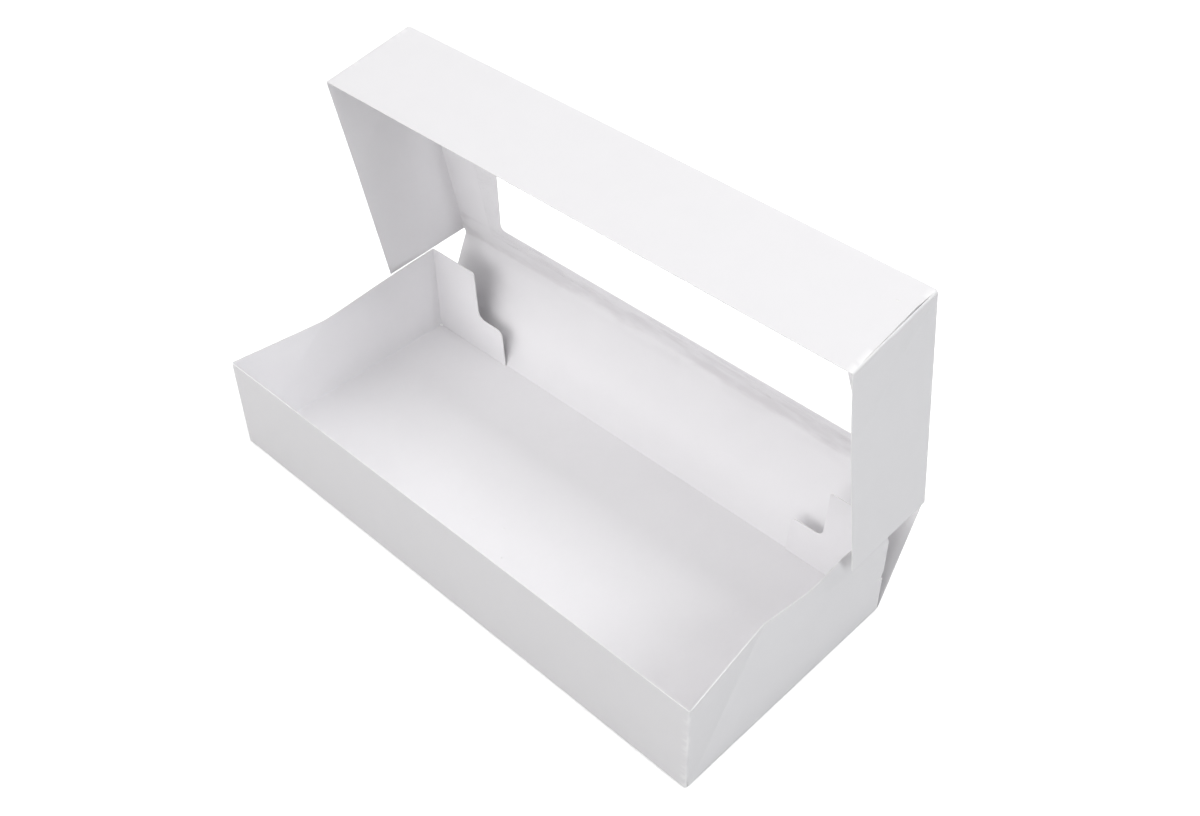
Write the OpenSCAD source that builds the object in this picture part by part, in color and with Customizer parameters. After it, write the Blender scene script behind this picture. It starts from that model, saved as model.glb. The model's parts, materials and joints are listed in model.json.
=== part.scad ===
/* [Board] */
// Thickness of the folded white board
board = 0.6; // [0.4:0.1:0.8]
// Outer radius of every folded edge
fold_radius = 1.2; // [1:0.1:2]
// Running gap at the two creases that move
crease_gap = 0.3; // [0.2:0.1:0.6]

/* [Tray] */
// Length of the tray along its front, outside
tray_length = 400; // [300:1:480]
// Depth of the tray from front to back, outside
tray_depth = 175; // [150:1:220]
// Height of the tray walls, outside
tray_height = 70; // [60:1:90]
// How far each side wall is pushed in at the top of its slanting crease
wall_kink = 9; // [4:1:12]
// How far the side wall stops short of the front corner, where the front wall turns round it
seam_set = 2; // [1.6:0.1:4]
// Radius of the relief notch at each rear corner of the floor
relief_radius = 2; // [1.5:0.1:3]

/* [Glue flaps] */
// Reach of each glue flap from the front corner along the side wall
glue_reach = 48; // [30:1:54]
// Distance that the glue flap stays above the slanting crease
glue_set = 4; // [3:0.5:6]
// Distance that the glue flap stays below the free edge of the wall
glue_drop = 1; // [0.5:0.1:3]

/* [Lock flaps] */
// Reach of the lower half of each rear lock flap from the side wall
flap_low_reach = 69.5; // [60:0.5:80]
// Reach of the upper half of each rear lock flap from the side wall
flap_high_reach = 42; // [30:0.5:50]
// Height of the step between the two halves
flap_step = 31; // [25:0.5:40]
// How much each free side of the flap leans as it rises
flap_lean = 2; // [0:0.5:4]
// Radius of the outward curve at the step
step_round = 5; // [3:0.5:8]
// Radius of the inward curve at the step
step_hollow = 6; // [3:0.5:8]
// Radius of the top corner
flap_round = 2; // [1:0.5:4]
// Gap between the flap and the floor it stands over
flap_lift = 0.5; // [0.3:0.1:1]

/* [Nick in the right rear fold] */
// Height where the nick is widest
nick_foot = 28; // [20:1:35]
// Height of the nick itself
nick_rise = 11; // [6:1:14]
// Width of the nick at its foot
nick_width = 4; // [2:0.5:6]

/* [Back wall] */
// How far the back wall stands above the tray walls
back_rise = 5; // [3:0.5:10]
// Lean of the back wall away from the tray, as it rests
back_lean = 24; // [15:1:30]
// Gap at each end of the back wall inside the closed lid
back_end_gap = 0.3; // [0.2:0.1:1]

/* [Lid] */
// Angle of the lid above level, as it rests
lid_open = 80; // [70:1:90]
// Gap on each side between the closed lid and the tray
lid_side_gap = 1; // [0.5:0.1:2]
// Gap in front between the closed lid and the tray
lid_front_gap = 1.6; // [1.5:0.1:3]
// Height of the lid walls above the table when the lid is closed
lid_foot_gap = 6; // [4:0.5:10]
// How far the lid side walls draw back from the hinge at their free edge
lid_taper = 8; // [4:1:14]
// How far the lid side walls start from the hinge
lid_rear_set = 3; // [2:0.5:6]
// Width of the pressed crease across each lid side wall
crease_width = 0.8; // [0.5:0.1:1.2]
// Depth of the pressed crease
crease_depth = 0.15; // [0.1:0.05:0.25]

/* [Window] */
// Strip of board between the window and the front fold of the lid
window_front = 22; // [16:1:40]
// Strip of board between the window and the hinge
window_hinge = 26; // [20:1:40]
// Strip of board at each side of the window, where the window is widest
window_side_end = 46; // [40:1:60]
// Strip of board at each side of the window, at its waist
window_side_mid = 58; // [50:1:75]
// Radius of the window corners
window_round = 4; // [2:0.5:10]
// Radius of the rounded waist
waist_round = 8; // [4:0.5:12]

/* [Window film] */
// Thickness of the clear film
film_thickness = 0.1; // [0.05:0.05:0.3]
// Width of the glued margin of the film round the window
film_margin = 13; // [6:0.5:15]

/* [Hidden] */
$fn = 32;

// Steps that make up each rounded corner of a flat outline
arc_steps = 6;
// Rows of faces up a pushed-in side wall
wall_rows = 6;
// Columns of faces in front of the slanting crease, which is flat there
gusset_columns = 1;
// Columns of faces behind the slanting crease
panel_columns = 8;
// Bend of the side wall behind its crease, where 1 is straight
push_curve = 1.2;
// Width of the side wall corner in front of the crease at the floor
crease_start = 1;
// How far a glued flap is let into the wall that it is glued to, so that they are one piece
glue_bite = 0.2;
// How far a glued flap starts behind the seam
glue_start = 0.4;
// Reach of a cutting shape past the board
cut_reach = 5;

half_length = tray_length / 2;
half_depth = tray_depth / 2;

// The side walls run from the seam at the front to the fold at the rear
side_front = -half_depth + seam_set;
side_rear = half_depth - fold_radius;
crease_top = -half_depth + tray_height;
gusset_angle = atan(wall_kink / (crease_top - side_front));

// The crease at the floor and the crease at the hinge
back_height = tray_height + back_rise;
floor_crease_y = half_depth + crease_gap + board / 2;
floor_crease_z = board / 2;
hinge_y = floor_crease_y + back_height * sin(back_lean);
hinge_z = floor_crease_z + back_height * cos(back_lean);

// The lid, measured to its outer faces
lid_half = half_length + lid_side_gap + board;
lid_depth = floor_crease_y + half_depth + lid_front_gap + board;
lid_height = back_height - lid_foot_gap + board;
panel_rear = lid_depth - board / 2 - crease_gap;

window_top = window_front;
window_low = lid_depth - window_hinge;
window_mid = (window_top + window_low) / 2;

// Direction of a flat vector
function unit(v) = v / norm(v);
// A flat vector turned by an angle
function turned(v, a) = [v.x * cos(a) - v.y * sin(a), v.x * sin(a) + v.y * cos(a)];
// Points of the arc that rounds corner p between its neighbours a and b
function corner_arc(a, p, b, r) =
    let (
        u = unit(a - p),
        v = unit(b - p),
        half = acos(u * v) / 2,
        centre = p + unit(u + v) * r / sin(half),
        first = p + u * r / tan(half) - centre,
        last = p + v * r / tan(half) - centre,
        sweep = atan2(cross(first, last), first * last)
    )
    [for (i = [0 : arc_steps]) centre + turned(first, sweep * i / arc_steps)];
// An outline with each corner rounded by its own radius, or left sharp at 0
function rounded(points, radii) =
    let (n = len(points))
    [for (i = [0 : n - 1])
        each radii[i] == 0
            ? [points[i]]
            : corner_arc(points[(i + n - 1) % n], points[i], points[(i + 1) % n], radii[i])];

// Part of the way up a side wall, from 0 at the floor fold to 1 at the top edge
function climb(row) = row / wall_rows;
// Height of a row of points on a side wall
function wall_z(row) = fold_radius + climb(row) * (tray_height - fold_radius);
// Place of the slanting crease in a row
function crease_y(row) =
    side_front + crease_start + climb(row) * (crease_top - side_front - crease_start);
// Place of a point along a side wall
function wall_y(row, column) =
    column <= gusset_columns
        ? side_front + (crease_y(row) - side_front) * column / gusset_columns
        : crease_y(row)
            + (side_rear - crease_y(row)) * (column - gusset_columns) / panel_columns;
// How far the slanting crease is pushed in, from nothing in the row at the floor fold
function crease_push(row) =
    row == 0 ? 0 : wall_kink * (crease_y(row) - side_front) / (crease_top - side_front);
// How far a point of a side wall is pushed in
function wall_push(row, column) =
    crease_push(row)
        * (column <= gusset_columns
            ? column / gusset_columns
            : pow(1 - (column - gusset_columns) / panel_columns, push_curve));

// A fold of the board: part of a tube, round the Z axis
module fold(length, angle = 90) {
    rotate_extrude(angle = angle)
        translate([fold_radius - board, 0])
            square([board, length]);
}

// A front wall with its corner folds and glue flaps, outer face on y = 0, rising from z = 0
module front_sheet(half_width, height, lean) {
    corner_x = half_width - board - fold_radius;
    translate([-corner_x, 0, fold_radius])
        cube([2 * corner_x, board, height - fold_radius]);
    translate([-corner_x, fold_radius, fold_radius])
        rotate([0, 90, 0])
            rotate([0, 0, -90])
                mirror([0, 1, 0])
                    rotate([0, 0, -90])
                        fold(2 * corner_x);
    for (side = [0, 1])
        mirror([side, 0, 0])
            translate([corner_x, fold_radius, fold_radius])
                rotate([0, 0, -90])
                    fold(height - fold_radius);
    for (side = [0, 1])
        mirror([side, 0, 0])
            glue_flap(half_width, height, lean);
}

// The flap that the front wall carries round its corner, glued inside the side wall
module glue_flap(half_width, height, lean) {
    foot = glue_set + fold_radius;
    leg = seam_set - fold_radius + 2 * glue_start;
    outline = [
        [glue_start, foot],
        [glue_reach, foot + glue_reach],
        [glue_reach, height - glue_drop],
        [glue_start, height - glue_drop]
    ];
    translate([half_width - 2 * board, fold_radius, foot])
        cube([board, leg, height - glue_drop - foot]);
    translate([half_width - board, seam_set, 0])
        rotate([0, 0, lean])
            rotate([90, 0, 90])
                translate([0, 0, glue_bite - board])
                    linear_extrude(board)
                        polygon(outline);
}

// One side wall of the tray, pushed in along its slanting crease
module tray_side() {
    columns = gusset_columns + panel_columns + 1;
    skin = columns * (wall_rows + 1);
    points = [for (depth = [0, board], row = [0 : wall_rows], column = [0 : columns - 1])
        [half_length - depth - wall_push(row, column), wall_y(row, column), wall_z(row)]];
    outer_faces = [for (row = [0 : wall_rows - 1], column = [0 : columns - 2])
        let (a = row * columns + column)
        each [[a, a + columns, a + columns + 1], [a, a + columns + 1, a + 1]]];
    inner_faces = [for (face = outer_faces) [face[2] + skin, face[1] + skin, face[0] + skin]];
    foot = [for (column = [0 : columns - 2])
        each [[column, column + 1, column + 1 + skin], [column, column + 1 + skin, column + skin]]];
    crest = [for (column = [0 : columns - 2])
        let (a = wall_rows * columns + column)
        each [[a + 1, a, a + skin], [a + 1, a + skin, a + 1 + skin]]];
    front_end = [for (row = [0 : wall_rows - 1])
        let (a = row * columns, b = a + columns)
        each [[b, a, a + skin], [b, a + skin, b + skin]]];
    rear_end = [for (row = [0 : wall_rows - 1])
        let (a = row * columns + columns - 1, b = a + columns)
        each [[a, b, b + skin], [a, b + skin, a + skin]]];
    polyhedron(points, concat(outer_faces, inner_faces, foot, crest, front_end, rear_end));
    translate([half_length - fold_radius, side_rear, fold_radius])
        rotate([90, 0, 0])
            rotate([0, 0, -90])
                fold(side_rear - side_front);
}

// One rear lock flap, folded in from the side wall, with its stepped edge
module lock_flap() {
    outline = rounded(
        [
            [0, board + flap_lift],
            [flap_low_reach, board + flap_lift],
            [flap_low_reach - flap_lean, flap_step],
            [flap_high_reach + flap_lean, flap_step],
            [flap_high_reach, tray_height],
            [0, tray_height]
        ],
        [0, 0, step_round, step_hollow, flap_round, 0]
    );
    translate([half_length - fold_radius, half_depth, 0])
        rotate([90, 0, 0])
            mirror([1, 0, 0])
                linear_extrude(board)
                    polygon(outline);
    translate([half_length - fold_radius, half_depth - fold_radius, fold_radius])
        fold(tray_height - fold_radius);
}

// The nick worn through the fold behind the right side wall
module nick() {
    translate([half_length - cut_reach, 0, 0])
        rotate([90, 0, 90])
            linear_extrude(2 * cut_reach)
                polygon([
                    [half_depth + board, nick_foot],
                    [half_depth + board, nick_foot + nick_rise],
                    [half_depth - nick_width, nick_foot]
                ]);
}

// Floor, front wall, side walls and lock flaps, all folded from one sheet
module tray() {
    color("whitesmoke")
        difference() {
            union() {
                translate([fold_radius - half_length, fold_radius - half_depth, 0])
                    cube([tray_length - 2 * fold_radius, tray_depth - fold_radius, board]);
                translate([0, -half_depth, 0])
                    front_sheet(half_length, tray_height, gusset_angle);
                for (side = [0, 1])
                    mirror([side, 0, 0]) {
                        tray_side();
                        lock_flap();
                    }
            }
            for (side = [-1, 1])
                translate([side * (half_length - board), half_depth, -relief_radius])
                    cylinder(r = relief_radius, h = 2 * relief_radius);
            nick();
        }
}

// Back wall, hinged to the floor along its foot and to the lid along its top
module back_wall() {
    color("whitesmoke")
        translate([0, floor_crease_y, floor_crease_z])
            rotate([90 - back_lean, 0, 0])
                translate([back_end_gap - half_length, 0, 0])
                    rotate([90, 0, 90])
                        linear_extrude(tray_length - 2 * back_end_gap) {
                            translate([0, -board / 2])
                                square([back_height, board]);
                            circle(d = board);
                            translate([back_height, 0])
                                circle(d = board);
                        }
}

// The large window with its drawn-in waist, in the plane of the lid panel
module window_outline(grow) {
    end_x = lid_half - window_side_end + grow;
    mid_x = lid_half - window_side_mid + grow;
    polygon(rounded(
        [
            [-end_x, window_top - grow],
            [end_x, window_top - grow],
            [mid_x, window_mid],
            [end_x, window_low + grow],
            [-end_x, window_low + grow],
            [-mid_x, window_mid]
        ],
        [window_round, window_round, waist_round, window_round, window_round, waist_round]
    ));
}

// One side wall of the lid, with its slanting crease pressed in from outside
module lid_side() {
    wall_end = lid_depth - lid_rear_set;
    crease_run = lid_height - fold_radius;
    difference() {
        translate([lid_half - board, 0, 0])
            rotate([90, 0, 90])
                linear_extrude(board)
                    polygon([
                        [seam_set, fold_radius],
                        [wall_end, fold_radius],
                        [wall_end - lid_taper, lid_height],
                        [seam_set, lid_height]
                    ]);
        translate([lid_half - crease_depth, seam_set, fold_radius])
            rotate([45, 0, 0])
                translate([0, crease_width, -crease_width / 2])
                    cube([board, crease_run * sqrt(2), crease_width]);
    }
    translate([lid_half - fold_radius, wall_end, fold_radius])
        rotate([90, 0, 0])
            rotate([0, 0, -90])
                fold(wall_end - seam_set);
}

// The lid in its own frame: outer face of the panel on z = 0, walls rising, front face on y = 0
module lid_shell() {
    difference() {
        translate([fold_radius - lid_half, fold_radius, 0])
            cube([2 * (lid_half - fold_radius), panel_rear - fold_radius, board]);
        translate([0, 0, -cut_reach])
            linear_extrude(2 * cut_reach)
                window_outline(0);
    }
    front_sheet(lid_half, lid_height, 0);
    for (side = [0, 1])
        mirror([side, 0, 0])
            lid_side();
}

// Puts what is drawn in the lid's own frame on the hinge, opened to its angle of rest
module on_hinge() {
    translate([0, hinge_y, hinge_z])
        rotate([-lid_open, 0, 0])
            translate([0, -lid_depth, board / 2])
                mirror([0, 0, 1])
                    children();
}

// Lid panel with its window, front wall and side walls, all folded from one sheet
module lid() {
    color("white")
        on_hinge()
            lid_shell();
}

// Clear film glued to the inner face of the lid panel, round the window
module window_film() {
    film_half = lid_half - window_side_end + film_margin;
    color([0.85, 0.92, 0.96, 0.35])
        on_hinge()
            translate([-film_half, window_top - film_margin, board])
                cube([2 * film_half, window_low - window_top + 2 * film_margin, film_thickness]);
}

tray();
back_wall();
lid();
window_film();
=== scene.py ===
# %% [markdown]
# A bakery box in Blender. The box is one sheet of white coated board: floor, walls, back wall and lid
# are panels of the same sheet, joined by pressed creases. A clear film is glued behind the window in
# the lid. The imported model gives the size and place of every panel, and this lesson lays a thin,
# slightly slack sheet over it.

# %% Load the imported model
import bmesh
import bpy
import json
import math
from mathutils import Matrix, Vector


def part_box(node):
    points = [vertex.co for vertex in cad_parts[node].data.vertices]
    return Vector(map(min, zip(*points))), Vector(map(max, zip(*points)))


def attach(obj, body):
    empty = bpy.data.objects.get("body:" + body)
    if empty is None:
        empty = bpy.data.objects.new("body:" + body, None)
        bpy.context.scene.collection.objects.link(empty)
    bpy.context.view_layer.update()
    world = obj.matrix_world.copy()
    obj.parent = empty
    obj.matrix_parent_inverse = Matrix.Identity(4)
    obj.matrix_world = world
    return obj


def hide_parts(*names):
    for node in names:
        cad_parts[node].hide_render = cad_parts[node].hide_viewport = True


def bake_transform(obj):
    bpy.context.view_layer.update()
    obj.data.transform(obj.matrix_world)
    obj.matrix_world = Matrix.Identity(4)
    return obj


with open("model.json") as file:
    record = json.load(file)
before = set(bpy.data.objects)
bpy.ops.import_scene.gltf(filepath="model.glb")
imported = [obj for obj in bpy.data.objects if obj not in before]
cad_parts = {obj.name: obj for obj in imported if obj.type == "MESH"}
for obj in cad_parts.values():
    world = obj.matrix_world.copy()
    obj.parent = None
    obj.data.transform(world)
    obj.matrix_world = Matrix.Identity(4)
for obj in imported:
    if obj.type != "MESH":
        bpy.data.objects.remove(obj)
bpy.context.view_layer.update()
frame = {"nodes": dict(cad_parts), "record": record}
print("nodes in the packed model:", sorted(frame["nodes"]))

# %% [markdown]
# Sizes come first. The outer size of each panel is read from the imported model, so the sheet lands on it
# exactly. What the model does not state, such as the thickness of the board, is a named value in
# metres.

# %% Sizes of the box
MM = 0.001
BOARD = 0.6 * MM
# A fold is a quarter round. Its radius is that of the outer face, and FOLD_MIDDLE that of the middle
# surface.
FOLD_RADIUS = 1.2 * MM
FOLD_MIDDLE = FOLD_RADIUS - BOARD / 2
FOLD_STEPS = 4
FOLD_WEAR = 0.45
# The side walls start this far behind the outer face of the front wall.
SEAM_SET = 2.0 * MM

HALF_LENGTH, HALF_DEPTH, TRAY_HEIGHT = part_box("tray")[1]
joints = {joint["name"]: joint for joint in frame["record"]["behaviour"]["joints"]}
FOOT = Vector(joints["back_wall_fold"]["pos_m"])
HINGE = Vector(joints["lid_hinge"]["pos_m"])
LID_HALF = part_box("lid")[1][0]
# The lid as it rests, and its own depth and height, measured to its outer faces.
LID_OPEN = math.radians(80)
LID_DEPTH = 177.8 * MM
LID_HEIGHT = 69.6 * MM
print("tray", HALF_LENGTH * 2, HALF_DEPTH * 2, TRAY_HEIGHT, "lid half length", LID_HALF)

# %% [markdown]
# The camera looks down on the front right corner of the box. Its place and angle were solved from the
# corners of the tray in the photograph, and the lens follows from the same corners. The frame is 1200
# by 816 pixels.

# %% Camera
CAMERA_PLACE = Vector((478.1, -430.8, 678.7)) * MM
CAMERA_YAW = math.radians(-44.66)
CAMERA_PITCH = math.radians(42.18)
CAMERA_ROLL = math.radians(-0.79)
FOCAL_PIXELS = 1440.5
FRAME_WIDTH = 1200
SENSOR_WIDTH = 36.0


def make_camera():
    """A camera turned by yaw and pitch, and then rolled about its own view."""
    forward = Vector((
        math.sin(CAMERA_YAW) * math.cos(CAMERA_PITCH),
        math.cos(CAMERA_YAW) * math.cos(CAMERA_PITCH),
        -math.sin(CAMERA_PITCH),
    ))
    level = Vector((math.cos(CAMERA_YAW), -math.sin(CAMERA_YAW), 0))
    above = level.cross(forward)
    right = level * math.cos(CAMERA_ROLL) + above * math.sin(CAMERA_ROLL)
    up = above * math.cos(CAMERA_ROLL) - level * math.sin(CAMERA_ROLL)
    data = bpy.data.cameras.new("camera")
    data.sensor_width = SENSOR_WIDTH
    data.lens = FOCAL_PIXELS * SENSOR_WIDTH / FRAME_WIDTH
    camera = bpy.data.objects.new("camera", data)
    turn = Matrix((right, up, -forward)).transposed()
    camera.matrix_world = Matrix.Translation(CAMERA_PLACE) @ turn.to_4x4()
    bpy.context.scene.collection.objects.link(camera)
    bpy.context.scene.camera = camera
    return camera


camera = make_camera()
print("lens in mm:", round(camera.data.lens, 2))

# %% [markdown]
# The studio is a white floor with six soft boxes round it: two above, one in front, one at the left of
# the front, one at the right and one behind, with a faint white world that fills the last shadows.
# White board on white shows only by its shading, so each panel needs its own amount of light. The
# camera sees the floor whiter than the board does, which keeps the background clean and still bounces
# only a little light up the walls.

# %% Floor and light
FLOOR_SIZE = 6.0
FLOOR_ROUGHNESS = 0.9
# How white the floor is to the camera, and how white it is to the board that it lights.
FLOOR_WHITE = 1.25
FLOOR_BOUNCE = 0.65
WORLD_STRENGTH = 0.05
# Every soft box is turned to this point, half way up the box.
AIM = (0, 0, 0.08)
NEUTRAL = (1.0, 1.0, 1.0)
COOL = (0.96, 0.985, 1.0)
# Each soft box has its place, its size, its power in watts and its colour.
SOFT_BOXES = {
    "overhead": ((0, 0.4, 2.4), (3.0, 2.4), 22.5, NEUTRAL),
    "over_front": ((0, -1.2, 2.2), (2.0, 1.4), 8.8, NEUTRAL),
    "front": ((0, -2.4, 1.2), (2.4, 1.2), 30.0, NEUTRAL),
    "front_left": ((-1.7, -1.7, 1.8), (1.4, 1.4), 15.0, NEUTRAL),
    "right": ((2.4, 0, 1.2), (1.2, 2.4), 27.7, COOL),
    "rear": ((0, 2.2, 1.8), (2.4, 1.2), 54.4, NEUTRAL),
}


def make_floor():
    """A plain white square under the box. It belongs to the studio, not to the box."""
    mesh = bpy.data.meshes.new("floor")
    half = FLOOR_SIZE / 2
    corners = [(-half, -half, 0), (half, -half, 0), (half, half, 0), (-half, half, 0)]
    mesh.from_pydata(corners, [], [(0, 1, 2, 3)])
    floor = bpy.data.objects.new("floor", mesh)
    bpy.context.scene.collection.objects.link(floor)
    material = bpy.data.materials.new("studio_floor")
    material.use_nodes = True
    tree = material.node_tree
    shader = tree.nodes["Principled BSDF"]
    shader.inputs["Roughness"].default_value = FLOOR_ROUGHNESS
    shader.inputs["Specular IOR Level"].default_value = 0.0
    ray = tree.nodes.new("ShaderNodeLightPath")
    tone = tree.nodes.new("ShaderNodeMapRange")
    tone.inputs["To Min"].default_value = FLOOR_BOUNCE
    tone.inputs["To Max"].default_value = FLOOR_WHITE
    tree.links.new(ray.outputs["Is Camera Ray"], tone.inputs["Value"])
    tree.links.new(tone.outputs["Result"], shader.inputs["Base Color"])
    mesh.materials.append(material)


def make_light(name, place, target, size, power, tint):
    data = bpy.data.lights.new(name, "AREA")
    data.shape = "RECTANGLE"
    data.size = size[0]
    data.size_y = size[1]
    data.energy = power
    data.color = tint
    light = bpy.data.objects.new(name, data)
    light.location = place
    light.rotation_euler = (Vector(target) - Vector(place)).to_track_quat("-Z", "Y").to_euler()
    bpy.context.scene.collection.objects.link(light)
    return light


def make_world(strength, tint):
    world = bpy.data.worlds.new("studio")
    world.use_nodes = True
    background = world.node_tree.nodes["Background"]
    background.inputs["Color"].default_value = (*tint, 1)
    background.inputs["Strength"].default_value = strength
    bpy.context.scene.world = world


make_floor()
for name, (place, size, power, tint) in SOFT_BOXES.items():
    box = make_light(name, place, AIM, size, power, tint)
    box.visible_glossy = name != "rear"
make_world(WORLD_STRENGTH, NEUTRAL)
bpy.context.scene.view_settings.view_transform = "Standard"

# %% [markdown]
# Small helpers add shader nodes, so that each finish below reads as a recipe.

# %% Helpers for finishes
def new_material(name):
    material = bpy.data.materials.new(name)
    material.use_nodes = True
    return material, material.node_tree, material.node_tree.nodes["Principled BSDF"]


def add_node(tree, kind, **settings):
    node = tree.nodes.new(kind)
    for key, value in settings.items():
        setattr(node, key, value)
    return node


def grain(tree, scale, detail=2.0, stretch=(1, 1, 1)):
    """Noise in the object's own coordinates. Scale is in grains per metre."""
    where = add_node(tree, "ShaderNodeTexCoord")
    mapping = add_node(tree, "ShaderNodeMapping")
    mapping.inputs["Scale"].default_value = stretch
    noise = add_node(tree, "ShaderNodeTexNoise")
    noise.inputs["Scale"].default_value = scale
    noise.inputs["Detail"].default_value = detail
    tree.links.new(where.outputs["Object"], mapping.inputs["Vector"])
    tree.links.new(mapping.outputs["Vector"], noise.inputs["Vector"])
    return noise.outputs["Fac"]


def remap(tree, value, low, high):
    node = add_node(tree, "ShaderNodeMapRange")
    node.inputs["To Min"].default_value = low
    node.inputs["To Max"].default_value = high
    tree.links.new(value, node.inputs["Value"])
    return node.outputs["Result"]


def blend_colors(tree, factor, first, second):
    """Goes from the first colour to the second. A colour is a tuple or the output of a node."""
    node = add_node(tree, "ShaderNodeMix", data_type="RGBA")
    for socket, color in ((node.inputs[6], first), (node.inputs[7], second)):
        if isinstance(color, tuple):
            socket.default_value = (*color, 1)
        else:
            tree.links.new(color, socket)
    tree.links.new(factor, node.inputs[0])
    return node.outputs[2]


def patches(tree, value, low, high, most=1.0):
    """Soft-edged patches, from nothing where the value is low to most where it is high."""
    node = add_node(tree, "ShaderNodeMapRange", interpolation_type="SMOOTHSTEP")
    node.inputs["From Min"].default_value = low
    node.inputs["From Max"].default_value = high
    node.inputs["To Max"].default_value = most
    tree.links.new(value, node.inputs["Value"])
    return node.outputs["Result"]


def bump(tree, height, distance, strength, under=None):
    node = add_node(tree, "ShaderNodeBump")
    node.inputs["Distance"].default_value = distance
    node.inputs["Strength"].default_value = strength
    tree.links.new(height, node.inputs["Height"])
    if under is not None:
        tree.links.new(under, node.inputs["Normal"])
    return node.outputs["Normal"]


# %% [markdown]
# The board has three faces. Outside it is coated and smooth with a low satin sheen, inside it is
# plainer, whiter and shows a little more fibre, and the cut edge shows the raw, slightly fluffy core.
# All three are white, so the life is in the fine grain, the sheen and a faint cloudiness. Folds wear
# the coating in patches, and the glue of the film crumples the inner face. The inner face turns darker
# in patches where it is crumpled, and in the crease of the hinge these darker patches are painted shade.

# %% Board finishes
CLOUD_SCALE, CLOUD_DETAIL = 55, 3.0
FIBRE_SCALE, FIBRE_DETAIL, FIBRE_STRETCH = 900, 4.0, (1.0, 0.35, 1.0)
FIBRE_STRENGTH = 0.5
FLECK = (0.6, 0.59, 0.6)
FLECK_SHARE = 0.06
PATCH_SCALE, PATCH_DETAIL, PATCH_STRETCH = 70, 5.0, (0.45, 1.0, 1.0)
PATCH_LOW, PATCH_HIGH = 0.4, 0.62
WEAR_DEPTH, WEAR_STRENGTH = 0.06 * MM, 0.7
COARSE_SCALE, COARSE_DEPTH, COARSE_STRENGTH = 140, 0.03 * MM, 0.6
SHEEN_SCALE = 160
GLOSS_BELOW, GLOSS_ABOVE = 0.05, 0.08
BOARD_IOR = 1.45
BOARD_SPECULAR = 0.25


def make_board(name, light, dark, gloss, fibre_depth, wear_and_shade_color, mark):
    """A finish of the board. Where the points carry the mark, patches of it turn to the patch colour: lighter
    worn coating outside and on the cut edge, and inside darker crumples and painted shade in the hinge's
    crease.
    """
    material, tree, shader = new_material(name)
    fibre = grain(tree, FIBRE_SCALE, FIBRE_DETAIL, FIBRE_STRETCH)
    tone = blend_colors(tree, grain(tree, CLOUD_SCALE, CLOUD_DETAIL), light, dark)
    fleck = blend_colors(tree, remap(tree, fibre, 0.0, FLECK_SHARE), tone, FLECK)
    wear_and_shade_mark = add_node(tree, "ShaderNodeAttribute", attribute_name=mark)
    spots = patches(tree, grain(tree, PATCH_SCALE, PATCH_DETAIL, PATCH_STRETCH), PATCH_LOW, PATCH_HIGH)
    wear_and_shade = add_node(tree, "ShaderNodeMath", operation="MULTIPLY")
    tree.links.new(wear_and_shade_mark.outputs["Fac"], wear_and_shade.inputs[0])
    tree.links.new(spots, wear_and_shade.inputs[1])
    color = blend_colors(tree, wear_and_shade.outputs[0], fleck, wear_and_shade_color)
    tree.links.new(color, shader.inputs["Base Color"])
    sheen = remap(tree, grain(tree, SHEEN_SCALE), gloss - GLOSS_BELOW, gloss + GLOSS_ABOVE)
    tree.links.new(sheen, shader.inputs["Roughness"])
    shader.inputs["IOR"].default_value = BOARD_IOR
    shader.inputs["Specular IOR Level"].default_value = BOARD_SPECULAR
    coarse = bump(tree, grain(tree, COARSE_SCALE), COARSE_DEPTH, COARSE_STRENGTH)
    fine = bump(tree, fibre, fibre_depth, FIBRE_STRENGTH, coarse)
    creased = bump(tree, wear_and_shade.outputs[0], WEAR_DEPTH, WEAR_STRENGTH, fine)
    tree.links.new(creased, shader.inputs["Normal"])
    return material


RAW = (0.93, 0.925, 0.92)
# The darker colour of the inside's patches: darker crumples behind the window, and painted shade in the
# crease of the hinge.
CREASE_SHADE_AND_CRUMPLE = (0.78, 0.765, 0.78)
outside = make_board(
    "board_outside", light=(0.77, 0.76, 0.772), dark=(0.75, 0.74, 0.753), gloss=0.42,
    fibre_depth=0.01 * MM, wear_and_shade_color=RAW, mark="worn",
)
# The inside's patches follow the crumpled mark, so in the crease of the hinge they are painted shade.
inside = make_board(
    "board_inside", light=(0.87, 0.86, 0.872), dark=(0.85, 0.84, 0.855), gloss=0.62,
    fibre_depth=0.02 * MM, wear_and_shade_color=CREASE_SHADE_AND_CRUMPLE, mark="crumpled",
)
edge = make_board(
    "board_edge", light=(0.9, 0.895, 0.89), dark=(0.85, 0.845, 0.84), gloss=0.8,
    fibre_depth=0.05 * MM, wear_and_shade_color=RAW, mark="worn",
)
print("finishes:", [m.name for m in (outside, inside, edge)])

# %% [markdown]
# A sheet is laid as a grid of points on its middle surface, panel by panel. Panels that share a fold
# share its points, so after the doubles are merged the whole blank is one surface, as the real one is.
# Each point also carries five marks: how slack the board is there, which way is outwards, how far it
# moves with a side wall, how worn the coating is, and how crumpled the inner face is. Where the
# crumpled mark lies in the crease of the hinge, the darker patches that it gives are painted shade.

# %% Laying a sheet
SAME_POINT = 0.005 * MM


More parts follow.
